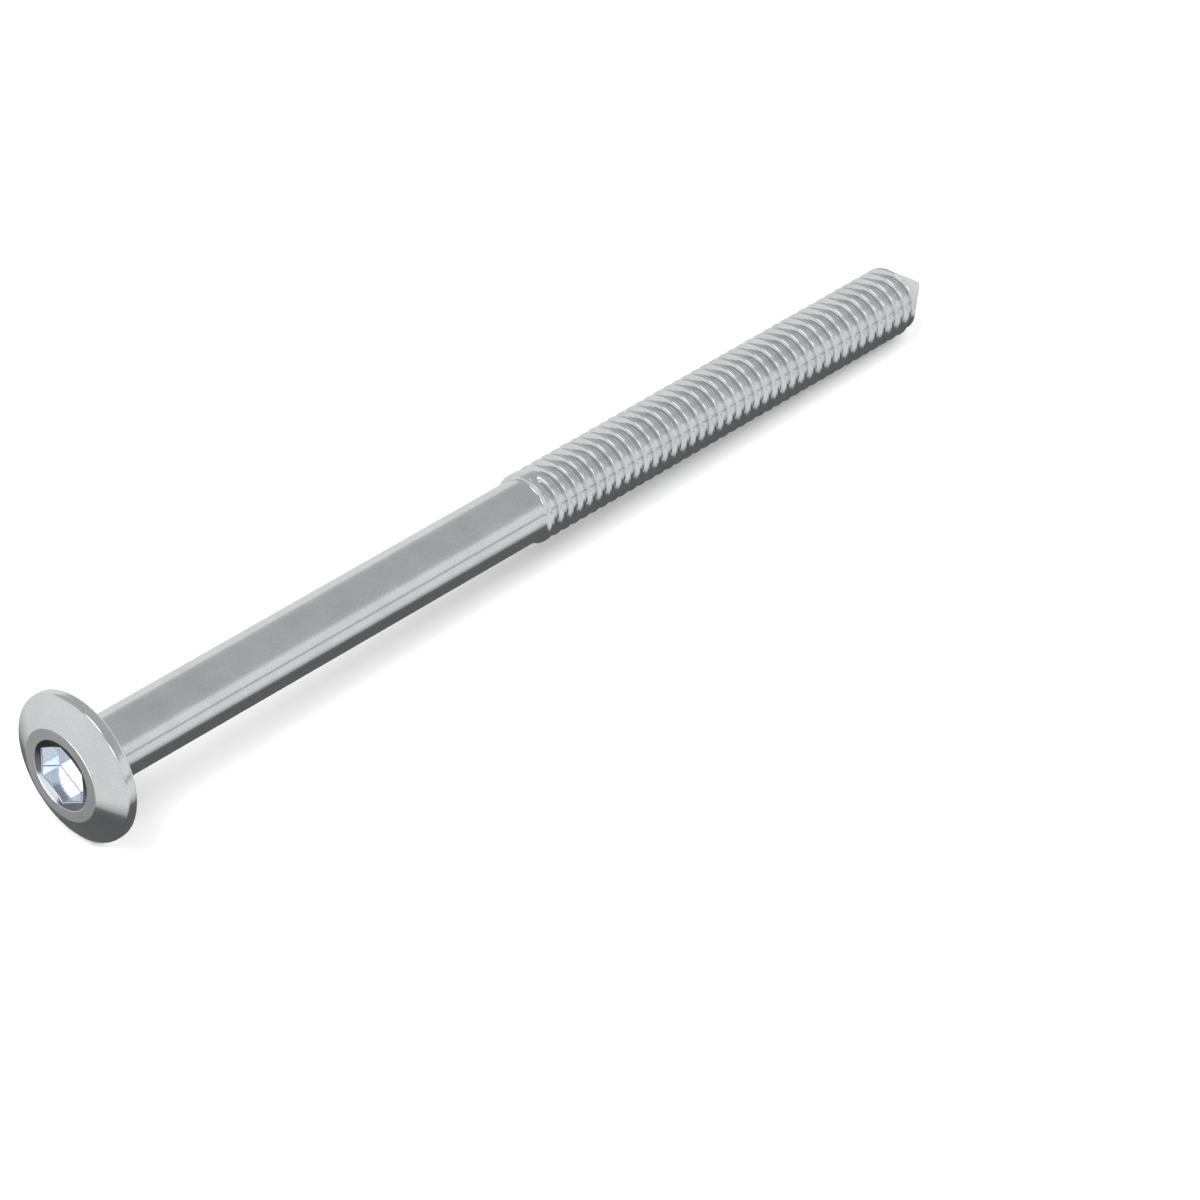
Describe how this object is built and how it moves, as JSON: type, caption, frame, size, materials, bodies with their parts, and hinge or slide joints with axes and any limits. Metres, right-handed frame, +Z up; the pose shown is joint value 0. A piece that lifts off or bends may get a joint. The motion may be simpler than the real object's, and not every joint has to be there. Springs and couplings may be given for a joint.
{
  "type": "screw",
  "caption": "Long furniture connecting screw with a wide flat bevelled head, hexagonal socket, plain shank, rolled thread and conical point.",
  "frame": {"origin": "middle of the footprint, on the surface that the screw lies on", "axes": "+X along the screw towards its point, 2.03 degrees above the screw's own axis, which leans down to the point; +Z up"},
  "size_m": [0.1302, 0.0166, 0.0166],
  "materials": {
    "zinc_plate": "bright zinc-plated steel"
  },
  "bodies": {
    "root": {"screw": "zinc_plate"}
  },
  "joints": []
}
